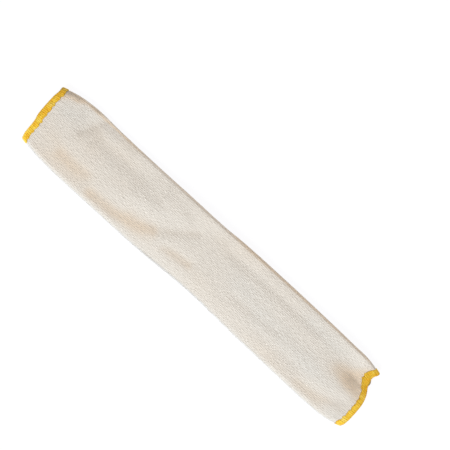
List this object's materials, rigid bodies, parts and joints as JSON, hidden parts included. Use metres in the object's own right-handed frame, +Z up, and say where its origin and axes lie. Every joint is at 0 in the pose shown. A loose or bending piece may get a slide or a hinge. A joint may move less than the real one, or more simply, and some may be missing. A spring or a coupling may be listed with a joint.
{
  "type": "cotton arm sleeve",
  "caption": "Knitted cotton arm sleeve lying flat: an open-ended tube of cream string knit that slips over the forearm, with a yellow overlocked hem round each open end.",
  "frame": {"origin": "middle of the sleeve's length and width, on the surface that it lies on", "axes": "+X along the sleeve from its straight end to its wavy end, +Y across it towards the side of the wavy end's notch, +Z up"},
  "size_m": [0.45, 0.0814, 0.0137],
  "materials": {
    "cotton_knit": "undyed cream cotton string knit, matt and slightly fuzzy, with lengthwise wales",
    "overlock_thread": "golden yellow overlock thread with a soft sheen"
  },
  "bodies": {
    "root": {"knit_tube": "cotton_knit", "hem_straight": "overlock_thread", "hem_wavy": "overlock_thread"}
  },
  "joints": []
}
